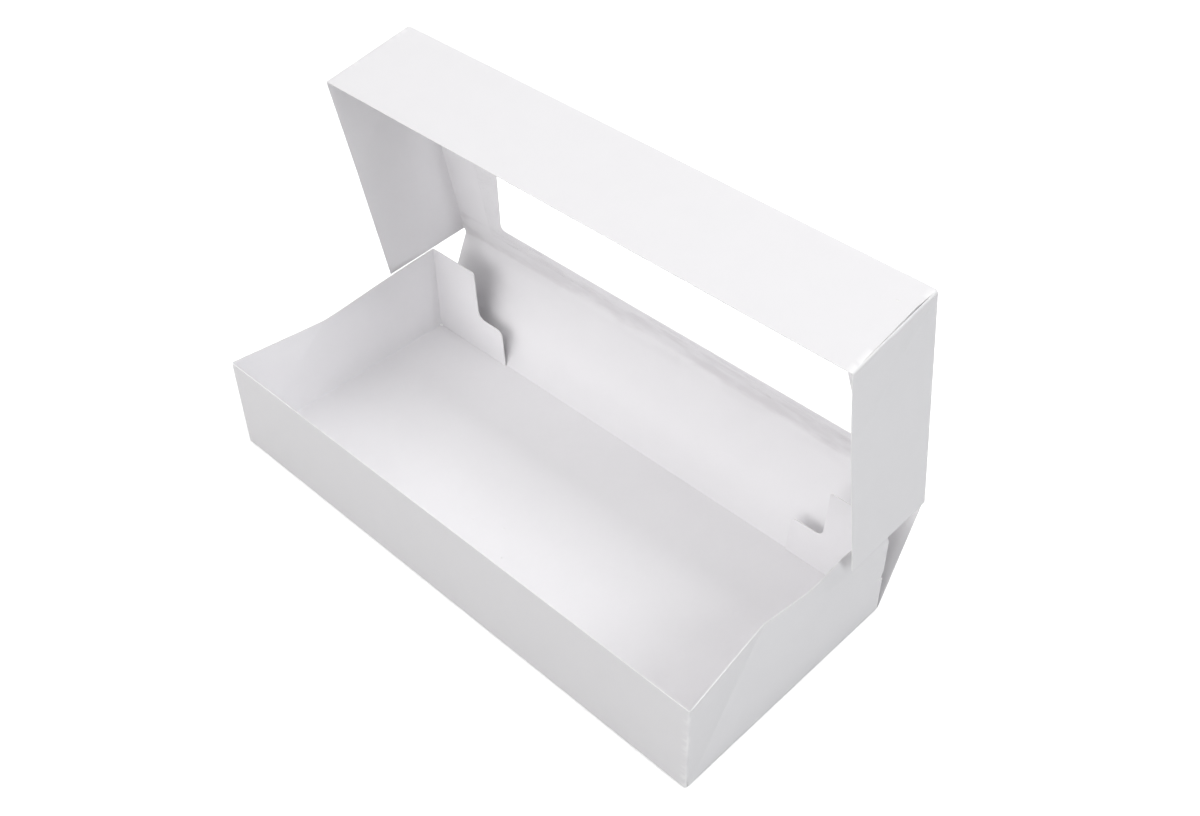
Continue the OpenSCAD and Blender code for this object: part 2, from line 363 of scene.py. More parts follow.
class Sheet:
    """A middle surface that grows panel by panel."""

    def __init__(self):
        self.mesh = bmesh.new()
        layers = self.mesh.verts.layers
        self.slack = layers.float.new("slack")
        self.side = layers.float.new("side")
        self.worn = layers.float.new("worn")
        self.crumpled = layers.float.new("crumpled")
        self.out = layers.float_vector.new("out")

    def lay(self, rows, columns, place, out, slack=0.0, side=0.0, worn=0.0, crumpled=0.0,
            keep=None, split=False):
        """A grid of rows by columns. place(i, j) is each point and out the outward direction there.

        A mark is one value or a function of (i, j). A single slack fades to nothing at the panel's edges.
        split makes triangles, and keep says which faces stay."""
        grid = []
        for i in range(rows + 1):
            line = []
            for j in range(columns + 1):
                point = self.mesh.verts.new(place(i, j))
                free = math.sin(math.pi * i / rows) * math.sin(math.pi * j / columns)
                point[self.slack] = slack(i, j) if callable(slack) else slack * free
                point[self.side] = side(i, j) if callable(side) else side
                point[self.worn] = worn(i, j) if callable(worn) else worn
                point[self.crumpled] = crumpled(i, j) if callable(crumpled) else crumpled
                point[self.out] = out(i, j) if callable(out) else out
                line.append(point)
            grid.append(line)
        for i in range(rows):
            for j in range(columns):
                a, b, c, d = grid[i][j], grid[i][j + 1], grid[i + 1][j + 1], grid[i + 1][j]
                faces = [(a, b, c), (a, c, d)] if split else [(a, b, c, d)]
                for number, corners in enumerate(faces):
                    if keep is not None and not keep(i, j, number):
                        continue
                    face = self.mesh.faces.new(corners)
                    face.normal_update()
                    middle = sum((corner[self.out] for corner in corners), Vector())
                    if face.normal.dot(middle) < 0:
                        face.normal_flip()
        return grid

    def crease(self, grid, count):
        """Makes the slanting line of edges through the first count cells of a split grid sharp."""
        for n in range(count):
            pair = (grid[n][n], grid[n + 1][n + 1])
            line = self.mesh.edges.get(pair)
            if line is not None:
                line.smooth = False

    def finish(self, name):
        """Joins the panels at their folds and gives the sheet's object."""
        loose = [point for point in self.mesh.verts if not point.link_faces]
        bmesh.ops.delete(self.mesh, geom=loose, context="VERTS")
        bmesh.ops.remove_doubles(self.mesh, verts=self.mesh.verts, dist=SAME_POINT)
        data = bpy.data.meshes.new(name)
        for face in self.mesh.faces:
            face.smooth = True
        self.mesh.to_mesh(data)
        self.mesh.free()
        piece = bpy.data.objects.new(name, data)
        bpy.context.scene.collection.objects.link(piece)
        return piece


def spread(first, last, count):
    """Evenly spaced stations from first to last."""
    return [first + (last - first) * n / count for n in range(count + 1)]


def baked(piece):
    """Turns what the modifiers make into the piece's own mesh."""
    graph = bpy.context.evaluated_depsgraph_get()
    mesh = bpy.data.meshes.new_from_object(piece.evaluated_get(graph), depsgraph=graph)
    piece.modifiers.clear()
    piece.data = mesh
    mesh.name = piece.name
    return piece


print("points that are joined lie within, in mm:", SAME_POINT / MM)

# %% [markdown]
# A Geometry Nodes tree is a recipe that is run on a mesh. Building one from a script takes many small
# calls, so a bench adds the nodes, wires them and ends each tree in the same way. A second helper runs
# a tree on a piece and keeps the result as its mesh.

# %% A bench for Geometry Nodes trees
class Bench:
    """Adds nodes to a Geometry Nodes tree and wires them."""

    def __init__(self, name, inputs):
        self.tree = bpy.data.node_groups.new(name, "GeometryNodeTree")
        face = self.tree.interface
        face.new_socket("Geometry", in_out="INPUT", socket_type="NodeSocketGeometry")
        for label, (kind, value) in inputs.items():
            socket = face.new_socket(label, in_out="INPUT", socket_type="NodeSocket" + kind)
            if value is not None:
                socket.default_value = value
        face.new_socket("Geometry", in_out="OUTPUT", socket_type="NodeSocketGeometry")
        self.given = self.add("NodeGroupInput").outputs
        self.result = self.add("NodeGroupOutput").inputs

    def add(self, kind, links=None, **settings):
        node = self.tree.nodes.new(kind)
        for key, value in settings.items():
            setattr(node, key, value)
        for key, value in (links or {}).items():
            self.put(node.inputs[key], value)
        return node

    def put(self, socket, value):
        if isinstance(value, bpy.types.NodeSocket):
            self.tree.links.new(value, socket)
        else:
            socket.default_value = value

    def math(self, operation, a, b=0.0, c=0.0, clamp=False):
        node = self.add("ShaderNodeMath", operation=operation, use_clamp=clamp)
        for socket, value in zip(node.inputs, (a, b, c)):
            self.put(socket, value)
        return node.outputs[0]

    def named(self, label, kind="FLOAT"):
        node = self.add("GeometryNodeInputNamedAttribute", {"Name": label}, data_type=kind)
        return node.outputs["Attribute"]

    def end(self, geometry, material):
        whole = self.add("GeometryNodeRealizeInstances", {"Geometry": geometry})
        dressed = self.add("GeometryNodeSetMaterial", {"Geometry": whole.outputs[0], "Material": material})
        self.put(self.result["Geometry"], dressed.outputs[0])
        return self.tree


def run_tree(piece, tree, **values):
    """Adds the tree to the piece, sets its inputs by the sockets' identifiers, and bakes it."""
    modifier = piece.modifiers.new(tree.name, "NODES")
    modifier.node_group = tree
    for item in tree.interface.items_tree:
        if item.item_type == "SOCKET" and item.in_out == "INPUT":
            key = item.name.lower().replace(" ", "_")
            if key in values:
                modifier[item.identifier] = values[key]
    return baked(piece)


print("Geometry Nodes bench:", Bench.__name__)

# %% [markdown]
# The side walls of such a box cannot stand straight when the lid is open: they give way along a
# slanting crease that starts in the front corner. The rule is simple: a wall is pushed in most at the
# top of that crease, and the push falls off straight to the front corner and in a slight hollow to the
# rear. The right wall's lip is curled in as well, and every panel waves a little. Geometry Nodes hold
# these rules with their sizes as inputs, and the lid and the back wall use the same tree.

# %% The tree that pushes the side walls in
CLIMB_LEAST = 1e-5


def slack_wall_tree():
    """The side wall's push, its belly and curl, and the waves of a slack sheet."""
    bench = Bench("slack_wall", {
        "Push": ("Float", 9 * MM),
        "Belly": ("Float", 0.0),
        "Curl": ("Float", 0.0),
        "Lip": ("Float", 0.14),
        "Curl start": ("Float", 0.7),
        "Curl full": ("Float", 0.25),
        "Corner": ("Float", 0.0),
        "Foot": ("Float", 0.0),
        "Rise": ("Float", 0.07),
        "Rear": ("Float", 0.1),
        "Front power": ("Float", 1.0),
        "Rear power": ("Float", 1.2),
        "Left softness": ("Float", 0.0),
        "Wave": ("Float", 0.3 * MM),
        "Wave scale": ("Float", 9.0),
        "Seed": ("Float", 3.0),
        "Material": ("Material", None),
    })
    given = bench.given
    place = bench.add("GeometryNodeInputPosition").outputs[0]
    x, y, z = bench.add("ShaderNodeSeparateXYZ", {0: place}).outputs
    climb = bench.math("DIVIDE", bench.math("SUBTRACT", z, given["Foot"]), given["Rise"], clamp=True)
    run = bench.math("MULTIPLY", climb, given["Rise"])
    crease = bench.math("ADD", given["Corner"], run)
    before = bench.math(
        "DIVIDE",
        bench.math("SUBTRACT", y, given["Corner"]),
        bench.math("MAXIMUM", run, CLIMB_LEAST),
        clamp=True,
    )
    after = bench.math(
        "DIVIDE",
        bench.math("SUBTRACT", given["Rear"], y),
        bench.math("SUBTRACT", given["Rear"], crease),
        clamp=True,
    )
    on_left = bench.math("LESS_THAN", x, 0.0)
    share = bench.math(
        "SMOOTH_MIN",
        bench.math("POWER", before, given["Front power"]),
        bench.math("POWER", after, given["Rear power"]),
        bench.math("MULTIPLY", on_left, given["Left softness"]),
    )
    share = bench.math("MAXIMUM", share, 0.0)
    # The belly is widest half way up, and the push grows with the height.
    arch = bench.math("SINE", bench.math("MULTIPLY", climb, math.pi))
    depth = bench.math("MULTIPLY", given["Push"], climb)
    depth = bench.math("ADD", depth, bench.math("MULTIPLY", given["Belly"], arch))
    push = bench.math("MULTIPLY", depth, share)
    # The curl bends only the lip of the right wall, and grows towards the rear.
    grown = bench.add("ShaderNodeMapRange", {
        "Value": after, "From Min": given["Curl start"], "From Max": given["Curl full"],
    }, interpolation_type="SMOOTHSTEP").outputs[0]
    below_lip = bench.math("SUBTRACT", 1.0, given["Lip"])
    near_top = bench.math("DIVIDE", bench.math("SUBTRACT", climb, below_lip), given["Lip"], clamp=True)
    curl = bench.math("MULTIPLY", near_top, given["Curl"])
    curl = bench.math("MULTIPLY", curl, bench.math("SUBTRACT", 1.0, on_left))
    push = bench.math("ADD", push, bench.math("MULTIPLY", curl, grown))
    push = bench.math("MULTIPLY", push, bench.named("side"))
    inward = bench.math("MULTIPLY", push, bench.math("SIGN", x))
    inward = bench.math("MULTIPLY", inward, -1.0)
    shift = bench.add("ShaderNodeCombineXYZ", {0: inward}).outputs[0]
    wave = bench.add(
        "ShaderNodeTexNoise",
        {"Scale": given["Wave scale"], "W": given["Seed"], "Detail": 1.0},
        noise_dimensions="4D",
    )
    lift = bench.math("MULTIPLY", bench.math("SUBTRACT", wave.outputs[0], 0.5), given["Wave"])
    lift = bench.math("MULTIPLY", lift, bench.named("slack"))
    outward = bench.named("out", "FLOAT_VECTOR")
    sway = bench.add("ShaderNodeVectorMath", {0: outward, "Scale": lift}, operation="SCALE")
    both = bench.add("ShaderNodeVectorMath", {0: shift, 1: sway.outputs[0]}, operation="ADD")
    moved = bench.add("GeometryNodeSetPosition", {"Geometry": given["Geometry"], "Offset": both.outputs[0]})
    return bench.end(moved.outputs[0], given["Material"])


slack_wall = slack_wall_tree()
print("tree", slack_wall.name, "has", len(slack_wall.nodes), "nodes")

# %% [markdown]
# The sheet gets its thickness last: a Solidify modifier grows half a board to each side, with the
# coated finish outside, the plainer one inside and the raw core on the rim. Cut-outs, such as the
# window and the stepped edge of the lock flaps, are then punched through with solid dies, as on a real
# cutting forme.

# %% Thickness and cutting
# Number of the rim's finish among the three finishes of a piece.
RIM = 2


def thicken(piece):
    """Grows the sheet to its thickness. The rim is shaded flat, as a cut edge is."""
    for finish in (inside, edge):
        piece.data.materials.append(finish)
    modifier = piece.modifiers.new("board", "SOLIDIFY")
    modifier.thickness = BOARD
    modifier.offset = 0
    modifier.use_even_offset = True
    modifier.material_offset = 1
    modifier.material_offset_rim = RIM
    baked(piece)
    for face in piece.data.polygons:
        if face.material_index == RIM:
            face.use_smooth = False
    return piece


def rounded(points, radii, steps=8):
    """A closed outline with each corner rounded by its own radius."""
    outline = []
    for n, radius in enumerate(radii):
        here = Vector(points[n])
        back = (Vector(points[n - 1]) - here).normalized()
        on = (Vector(points[(n + 1) % len(points)]) - here).normalized()
        if radius == 0:
            outline.append(here)
            continue
        half = back.angle(on) / 2
        centre = here + (back + on).normalized() * radius / math.sin(half)
        first = here + back * radius / math.tan(half) - centre
        last = here + on * radius / math.tan(half) - centre
        sweep = math.atan2(first.x * last.y - first.y * last.x, first.dot(last))
        for step in range(steps + 1):
            outline.append(centre + Matrix.Rotation(sweep * step / steps, 2) @ first)
    return outline


def add_die(mesh, outline, lift):
    """A closed prism. lift(point, end) puts a point of the flat outline in space, at end 0 or 1."""
    low = [mesh.verts.new(lift(point, 0)) for point in outline]
    high = [mesh.verts.new(lift(point, 1)) for point in outline]
    count = len(outline)
    mesh.faces.new(low)
    mesh.faces.new(list(reversed(high)))
    for n in range(count):
        m = (n + 1) % count
        mesh.faces.new((low[m], low[n], high[n], high[m]))


def punch(piece, mesh):
    """Cuts the dies in mesh out of the piece, and leaves the raw board on the cut."""
    bmesh.ops.recalc_face_normals(mesh, faces=mesh.faces)
    data = bpy.data.meshes.new("die")
    mesh.to_mesh(data)
    mesh.free()
    data.materials.append(edge)
    die = bpy.data.objects.new("die", data)
    bpy.context.scene.collection.objects.link(die)
    modifier = piece.modifiers.new("cut", "BOOLEAN")
    modifier.operation = "DIFFERENCE"
    modifier.solver = "EXACT"
    modifier.material_mode = "TRANSFER"
    modifier.object = die
    baked(piece)
    bpy.data.objects.remove(die)
    return piece


def fold_arc(step):
    """Sine and cosine part of a quarter fold of the middle surface, after step of its steps."""
    angle = math.pi / 2 * step / FOLD_STEPS
    return FOLD_MIDDLE * math.sin(angle), FOLD_MIDDLE * (1 - math.cos(angle))


print("board in mm:", BOARD / MM, "outer radius of a fold in mm:", FOLD_RADIUS / MM)

# %% [markdown]
# Both the tray and the lid are a floor panel with a front wall and two side walls. One function lays
# that tub. The front wall turns round each corner and ends as a glue flap inside the side wall, cut at
# a slant so that it clears the crease.

# %% A tub with a front wall, side walls and glue flaps
WALL_ROWS = 34
GLUE_COLUMNS = 24
GLUE_CLEAR = 2
GLUE_PROUD = 0.06 * MM
FRONT_SLACK = 0.6
SIDE_SLACK = 0.5


def wall_profile(step, cell):
    """Distance out and up along the fold at a wall's foot and then up the wall."""
    if step <= FOLD_STEPS:
        return fold_arc(step)
    return FOLD_MIDDLE, FOLD_MIDDLE + (step - FOLD_STEPS) * cell


def lay_tub(sheet, half, front, height, rear_columns, wall_rear, taper, floor_ends, half_at, columns,
            floor_slack, crumpled_from=math.inf):
    """Lays the floor, front wall, side walls and glue flaps, and gives the height of a row of the walls.

    front is the outer face of the front wall. floor_ends are the last rows of the floor, past the side walls,
    and half_at gives the floor's half length in a row. The inner face is crumpled from crumpled_from on."""
    middle = BOARD / 2
    reach = half - FOLD_RADIUS
    cell = (height - FOLD_RADIUS) / WALL_ROWS
    seam = front + SEAM_SET
    crease_top = seam + WALL_ROWS * cell
    stations = [seam + n * cell for n in range(WALL_ROWS + 1)]
    stations += spread(crease_top, wall_rear, rear_columns)[1:]
    floor_rows = [front + FOLD_RADIUS] + stations + floor_ends
    across = spread(-1, 1, columns)
    steps = FOLD_STEPS + WALL_ROWS
    down = Vector((0, 0, -1))

    def floor_point(i, j):
        return across[j] * half_at(floor_rows[i], reach), floor_rows[i], middle

    def front_point(i, j):
        away, up = wall_profile(i, cell)
        return across[j] * reach, front + FOLD_RADIUS - away, middle + up

    def front_out(i, j):
        if i == 0:
            return down
        return Vector((0, -1, -1)) if i < FOLD_STEPS else Vector((0, -1, 0))

    def front_worn(i, j):
        return FOLD_WEAR * (0 < i < FOLD_STEPS)

    def floor_crumpled(i, j):
        return float(floor_rows[i] > crumpled_from)

    sheet.lay(len(floor_rows) - 1, columns, floor_point, down, floor_slack, crumpled=floor_crumpled)
    sheet.lay(steps, columns, front_point, front_out, FRONT_SLACK, worn=front_worn)
    for side in (-1, 1):
        lay_side(sheet, side, reach, stations, cell, taper, crease_top)
        lay_corner(sheet, side, reach, front, cell)
    return cell


def lay_side(sheet, side, reach, stations, cell, taper, crease_top):
    """One side wall with the fold at its foot. Its rear edge draws in by taper at the top."""
    middle = BOARD / 2
    outward = Vector((side, 0, 0))

    def foot_out(i, j):
        return Vector((side, 0, -1 if i < FOLD_STEPS else 0))

    def foot_point(i, j):
        away, up = fold_arc(i)
        return side * (reach + away), stations[j], middle + up

    def wall_point(i, j):
        along = stations[j]
        if j > WALL_ROWS and taper:
            share = (along - crease_top) / (stations[-1] - crease_top)
            along -= taper * share * i / WALL_ROWS
        return side * (reach + FOLD_MIDDLE), along, middle + FOLD_MIDDLE + i * cell

    columns = len(stations) - 1
    sheet.lay(FOLD_STEPS, columns, foot_point, foot_out, worn=FOLD_WEAR)

    def wall_slack(i, j):
        share = max(0.0, (j - WALL_ROWS) / (columns - WALL_ROWS))
        return SIDE_SLACK * math.sin(math.pi * share) * math.sin(math.pi * i / WALL_ROWS)

    wall = sheet.lay(WALL_ROWS, columns, wall_point, outward, wall_slack, side=1.0, split=True)
    if side > 0:
        sheet.crease(wall, WALL_ROWS)


def lay_corner(sheet, side, reach, front, cell):
    """The fold round a front corner, and the glue flap that it carries inside the side wall.

    The flap lies on the wall, its face a little proud, and its slanted foot stays clear of the floor."""
    middle = BOARD / 2
    seam = front + SEAM_SET

    def height_of(row):
        return middle + FOLD_MIDDLE + row * cell

    def corner_point(i, j):
        away, back = fold_arc(j)
        return side * (reach + away), front + middle + back, height_of(i)

    def flap_point(i, j):
        if j == 0:
            return side * (reach + FOLD_MIDDLE), front + FOLD_RADIUS, height_of(i)
        level = height_of(i) - (BOARD if i == WALL_ROWS else 0)
        return side * (reach + FOLD_MIDDLE - GLUE_PROUD), seam + (j - 1) * cell, level

    def flap_keeps(i, j, number):
        low = GLUE_CLEAR + max(j - 1, 0)
        if j == 0:
            return i >= low
        return i > low or (i == low and number == 1)

    def corner_out(i, j):
        return Vector((side, -1 if j < FOLD_STEPS else 0, 0))

    outward = Vector((side, 0, 0))
    sheet.lay(WALL_ROWS, FOLD_STEPS, corner_point, corner_out, worn=FOLD_WEAR)
    sheet.lay(WALL_ROWS, GLUE_COLUMNS + 1, flap_point, outward, side=1.0, keep=flap_keeps, split=True)


print("rows up a wall:", WALL_ROWS, "columns along a glue flap:", GLUE_COLUMNS)

# %% [markdown]
# The tray is a tub with its rear open to the back wall. Each side wall carries a lock flap, folded in
# across the rear, with a stepped edge that the punch gives it. Two round relief notches free the rear
# corners of the floor, and a small nick is worn into the fold at the right.

# %% Tray
TRAY_COLUMNS = 100
TRAY_REAR_COLUMNS = 51
FLAP_COLUMNS = 36
FLAP_PULLED = 15
FLAP_FOOT = BOARD + 0.04 * MM
FLAP_REACH = 72 * MM
CREASE_REACH = 0.5 * MM
# The stepped edge: its reach below and above the step, the height of the step, its lean and its rounded
# corners.
STEP_LOW = 69.5 * MM
STEP_HIGH = 42 * MM
STEP_LEVEL = 31 * MM
STEP_LEAN = 2 * MM
STEP_RADII = [0, 5 * MM, 6 * MM, 2 * MM]
# A die's face never lies in a face of the board: it stays this far off it, or reaches well past it.
DIE_CLEAR = 0.02 * MM
DIE_PAST = 5 * MM
NOTCH_RADIUS = 2 * MM
NOTCH_SIDES = 24
NOTCH_DEPTH = 1.05 * MM
NICK_FOOT = 28 * MM
NICK_RISE = 11 * MM
NICK_WIDTH = 4 * MM
NICK_DROP = 0.2 * MM
NICK_REACH = 5 * MM
NICK_START = 3 * MM
MARK_PLACES = ((-33.4 * MM, -32.3 * MM), (-13.2 * MM, -23.8 * MM), (4.2 * MM, -42.3 * MM))
MARK_CORNERS = ((0, 0), (1.8 * MM, 0.5 * MM), (0.7 * MM, 0.9 * MM))
MARK_DEPTH = 0.6 * MM
TRAY_SLACK = 0.7


def lay_lock_flap(sheet, side, cell):
    """The fold behind a side wall and the flap that it carries, before its stepped edge is cut."""
    middle = BOARD / 2
    reach = HALF_LENGTH - FOLD_RADIUS
    rear = HALF_DEPTH - FOLD_RADIUS

    def height_of(row):
        return middle + FOLD_MIDDLE + row * cell

    def turn_point(i, j):
        back, away = fold_arc(j)
        return side * (reach + FOLD_MIDDLE - away), rear + back, height_of(i)

    def flap_point(i, j):
        level = height_of(i) if i else FLAP_FOOT
        return side * (reach - FLAP_REACH * j / FLAP_COLUMNS), rear + FOLD_MIDDLE, level

    def pull(i, j):
        return max(0.0, 1 - j / FLAP_PULLED)

    def turn_out(i, j):
        return Vector((side, 1 if j else 0, 0))

    sheet.lay(WALL_ROWS, FOLD_STEPS, turn_point, turn_out, side=1.0, worn=FOLD_WEAR)
    sheet.lay(WALL_ROWS, FLAP_COLUMNS, flap_point, Vector((0, 1, 0)), side=pull)


def flap_die(mesh, side):
    """The die that gives a lock flap its stepped edge."""
    low, high, step, lean = STEP_LOW, STEP_HIGH, STEP_LEVEL, STEP_LEAN
    top = TRAY_HEIGHT + DIE_CLEAR
    past = DIE_PAST
    foot = FLAP_FOOT - DIE_CLEAR
    points = [
        (low, foot), (low - lean, step), (high + lean, step), (high, top),
        (high - past, top), (high - past, top + past), (FLAP_REACH + past, top + past),
        (FLAP_REACH + past, foot),
    ]
    outline = rounded(points, STEP_RADII + [0, 0, 0, 0])
    reach = HALF_LENGTH - FOLD_RADIUS
    middle = HALF_DEPTH - BOARD / 2
    add_die(mesh, outline, lambda p, end: (side * (reach - p.x), middle + (2 * end - 1) * BOARD, p.y))


def small_dies(mesh):
    """Relief notches at the rear corners of the floor, and the nick in the right rear fold."""
    turns = spread(0, math.tau, NOTCH_SIDES)[:-1]
    ring = [Vector((math.cos(turn), math.sin(turn))) * NOTCH_RADIUS for turn in turns]
    for side in (-1, 1):
        centre = Vector((side * (HALF_LENGTH - BOARD), HALF_DEPTH))
        add_die(mesh, ring, lambda p, end: (centre.x + p.x, centre.y + p.y, (2 * end - 1) * NOTCH_DEPTH))
    past = HALF_DEPTH + BOARD
    nick = [
        Vector((past, NICK_FOOT)),
        Vector((past, NICK_FOOT + NICK_RISE)),
        Vector((HALF_DEPTH - NICK_WIDTH, NICK_FOOT + NICK_DROP)),
    ]
    add_die(mesh, nick, lambda p, end: (HALF_LENGTH - NICK_START + end * NICK_REACH, p.x, p.y))


def mark_dies(mesh):
    """Three small scratches in the floor, in a loose line behind the front wall."""
    for x, y in MARK_PLACES:
        scratch = [Vector((x + along, y + across)) for along, across in MARK_CORNERS]
        add_die(mesh, scratch, lambda p, end: (p.x, p.y, BOARD + (end - 0.5) * MARK_DEPTH))


def make_tray():
    sheet = Sheet()
    rear = HALF_DEPTH - FOLD_RADIUS
    cell = lay_tub(
        sheet, HALF_LENGTH, -HALF_DEPTH, TRAY_HEIGHT, TRAY_REAR_COLUMNS, rear, 0.0,
        [HALF_DEPTH, HALF_DEPTH + CREASE_REACH], lambda y, reach: reach, TRAY_COLUMNS, TRAY_SLACK,
    )
    for side in (-1, 1):
        lay_lock_flap(sheet, side, cell)
    piece = sheet.finish("tray_board")
    run_tree(
        piece, slack_wall, push=9 * MM, corner=-HALF_DEPTH + SEAM_SET, foot=FOLD_RADIUS,
        rise=TRAY_HEIGHT - FOLD_RADIUS, rear=rear, front_power=1.0, rear_power=1.2, curl=5 * MM,
        left_softness=0.3, wave=1.2 * MM, wave_scale=7.0, seed=3.0, material=outside,
    )
    thicken(piece)
    dies = bmesh.new()
    for side in (-1, 1):
        flap_die(dies, side)
    small_dies(dies)
    mark_dies(dies)
    punch(piece, dies)
    return piece


tray = make_tray()
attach(tray, "tray")
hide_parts("tray")
print("tray board:", len(tray.data.polygons), "faces")

# %% [markdown]
# The lid is drawn closed and upside down, as a tub of its own, and then turned on the hinge to where it
# rests. The back wall belongs to the same sheet: it is laid from the hinge down to the crease at the
# tray's floor, and the hinge between them is a soft bend. In the photograph the hinge bows back a
# little in its middle.

# %% Lid and back wall
LID_COLUMNS = 100
LID_REAR_COLUMNS = 52
LID_SLACK = 0.6
# The side walls start this far from the hinge, and draw back by the taper at their free edge.
LID_REAR_SET = 3 * MM
LID_TAPER = 8 * MM
FLOOR_ROW_SET = 1.9 * MM
BACK_ROWS = 30
BACK_HALF = HALF_LENGTH - 0.3 * MM
BACK_SLACK = 0.8
HINGE_BOW = 3.0 * MM
# The bow fades out over this stretch of the lid's panel. What stands higher than PANEL_LEVEL is wall,
# not panel.
BOW_REACH = 24 * MM
PANEL_LEVEL = 2 * MM
BEND_STEPS = 6
BEND_RADIUS = 2.5 * MM
SAME_EDGE = 0.02 * MM
back_along = (HINGE - FOOT).normalized()
back_height = (HINGE - FOOT).length
back_out = Vector((0, back_along.z, -back_along.y))
lid_along = Vector((0, -math.cos(LID_OPEN), math.sin(LID_OPEN)))
lid_out = Vector((0, math.sin(LID_OPEN), math.cos(LID_OPEN)))
bend_turn = back_along.angle(lid_along)
bend_tangent = BEND_RADIUS * math.tan(bend_turn / 2)


def on_hinge(point):
    """From the closed lid's own frame, with y from its front and z into it, to where the lid rests."""
    x, y, z = point
    start = Vector((x, 0, 0)) + Vector((0, HINGE.y, HINGE.z))
    return start + lid_along * (LID_DEPTH - y) - lid_out * (z - BOARD / 2)


def bow(x, away):
    """How far the sheet bows out at x, away from the hinge."""
    share = max(0.0, 1 - (x / BACK_HALF) ** 2)
    return HINGE_BOW * share * max(0.0, 1 - away) ** 2 * (1 + 2 * max(0.0, away))


def back_half_at(y, reach):
    """Half length of the lid's panel, which narrows to the back wall's just before the hinge."""
    start = LID_DEPTH - LID_REAR_SET
    share = min(1.0, max(0.0, (y - start) / (LID_REAR_SET - bend_tangent)))
    return reach + (BACK_HALF - reach) * share


def lay_back(sheet):
    """The hinge bend and the back wall below it."""
    across = spread(-1, 1, LID_COLUMNS)
    start = HINGE + lid_along * bend_tangent
    centre = start - lid_out * BEND_RADIUS
    rows = []
    for n in range(BEND_STEPS + 1):
        spin = Matrix.Rotation(-bend_turn * n / BEND_STEPS, 3, "X")
        rows.append((centre + spin @ (lid_out * BEND_RADIUS), spin @ lid_out))
    for n in range(1, BACK_ROWS + 1):
        share = n / BACK_ROWS
        rows.append((HINGE - back_along * (bend_tangent + (back_height - bend_tangent) * share), back_out))

    def out_of(i, j):
        return rows[i][1]

    def point(i, j):
        place, out = rows[i]
        x = across[j] * BACK_HALF
        away = abs((place - HINGE).dot(back_along)) / back_height
        return Vector((x, place.y, place.z)) + out * bow(x, away)

    # The bend's mark is wear of the coating on its outer face, and on its inner face darker patches that are
    # painted shade in the hinge's crease.
    def bend_wear_and_shade(i, j):
        return max(0.0, 1 - abs(i - BEND_STEPS / 2) / BEND_STEPS)

    sheet.lay(len(rows) - 1, LID_COLUMNS, point, out_of, BACK_SLACK, worn=bend_wear_and_shade, crumpled=bend_wear_and_shade)


WINDOW_FRONT = 22 * MM
WINDOW_HINGE = 26 * MM
WINDOW_SIDE = 46 * MM
WINDOW_WAIST = 58 * MM
WINDOW_ROUND = 4 * MM
WAIST_ROUND = 8 * MM
WINDOW_DIE = 9 * MM
CRUMPLE_SET = 6 * MM


def window_outline():
    """The window with its drawn-in waist, in the lid's own frame."""
    end_x = LID_HALF - WINDOW_SIDE
    mid_x = LID_HALF - WINDOW_WAIST
    near = WINDOW_FRONT
    far = LID_DEPTH - WINDOW_HINGE
    middle = (near + far) / 2
    points = [(-end_x, near), (end_x, near), (mid_x, middle), (end_x, far), (-end_x, far), (-mid_x, middle)]
    return rounded(points, [WINDOW_ROUND, WINDOW_ROUND, WAIST_ROUND] * 2)


# The slot's corners are measured in from its outer edge and up from the lid's panel.
SLOT_EDGE = 0.75 * MM
SLOT_CORNERS = ((0, 3 * MM), (1.1 * MM, 16 * MM), (0.8 * MM, 32 * MM), (0.2 * MM, 60 * MM), (0, 60 * MM))
SLOT_DEPTH = 1.2 * MM
DENT_PLACE = (LID_HALF - 13 * MM, 18 * MM)
DENT_CORNERS = ((0, 0), (3 * MM, -0.4 * MM), (1.6 * MM, 0.6 * MM))
DENT_DEPTH = 0.6 * MM
DENT_START = 0.6


def lid_wear_dies(mesh):
    """The slot where the right front corner has come apart, and a small dent beside it."""
    slot = [Vector((LID_HALF - SLOT_EDGE - inward, up)) for inward, up in SLOT_CORNERS]
    add_die(mesh, slot, lambda p, end: on_hinge((p.x, (2 * end - 1) * SLOT_DEPTH, p.y)))
    x, z = DENT_PLACE
    dent = [Vector((x + along, z + up)) for along, up in DENT_CORNERS]
    add_die(mesh, dent, lambda p, end: on_hinge((p.x, (end - DENT_START) * DENT_DEPTH, p.y)))


def make_lid():
    sheet = Sheet()
    wall_rear = LID_DEPTH - LID_REAR_SET
    lay_tub(
        sheet, LID_HALF, 0.0, LID_HEIGHT, LID_REAR_COLUMNS, wall_rear, LID_TAPER,
        [LID_DEPTH - FLOOR_ROW_SET, LID_DEPTH - bend_tangent], back_half_at, LID_COLUMNS, LID_SLACK,
        crumpled_from=LID_DEPTH - WINDOW_HINGE + CRUMPLE_SET,
    )
    piece = sheet.finish("lid_board")
    run_tree(
        piece, slack_wall, push=0.8 * MM, belly=2.6 * MM, corner=SEAM_SET, foot=FOLD_RADIUS,
        rise=LID_HEIGHT - FOLD_RADIUS, rear=wall_rear, front_power=1.0, rear_power=1.6,
        left_softness=0.0, wave=1.0 * MM, wave_scale=7.0, seed=8.0, material=outside,
    )
    place_lid(piece.data)
    back = Sheet()
    lay_back(back)
    wall = back.finish("back_board")
    run_tree(wall, slack_wall, push=0.0, wave=1.0 * MM, wave_scale=6.0, seed=5.0, material=outside)
    whole = bmesh.new()
    whole.from_mesh(piece.data)
    whole.from_mesh(wall.data)
    bmesh.ops.remove_doubles(whole, verts=whole.verts, dist=SAME_EDGE)
    whole.to_mesh(piece.data)
    whole.free()
    bpy.data.objects.remove(wall)
    thicken(piece)
    dies = bmesh.new()
    add_die(dies, window_outline(), lambda p, end: on_hinge((p.x, p.y, (2 * end - 1) * WINDOW_DIE)))
    lid_wear_dies(dies)
    punch(piece, dies)
    return piece


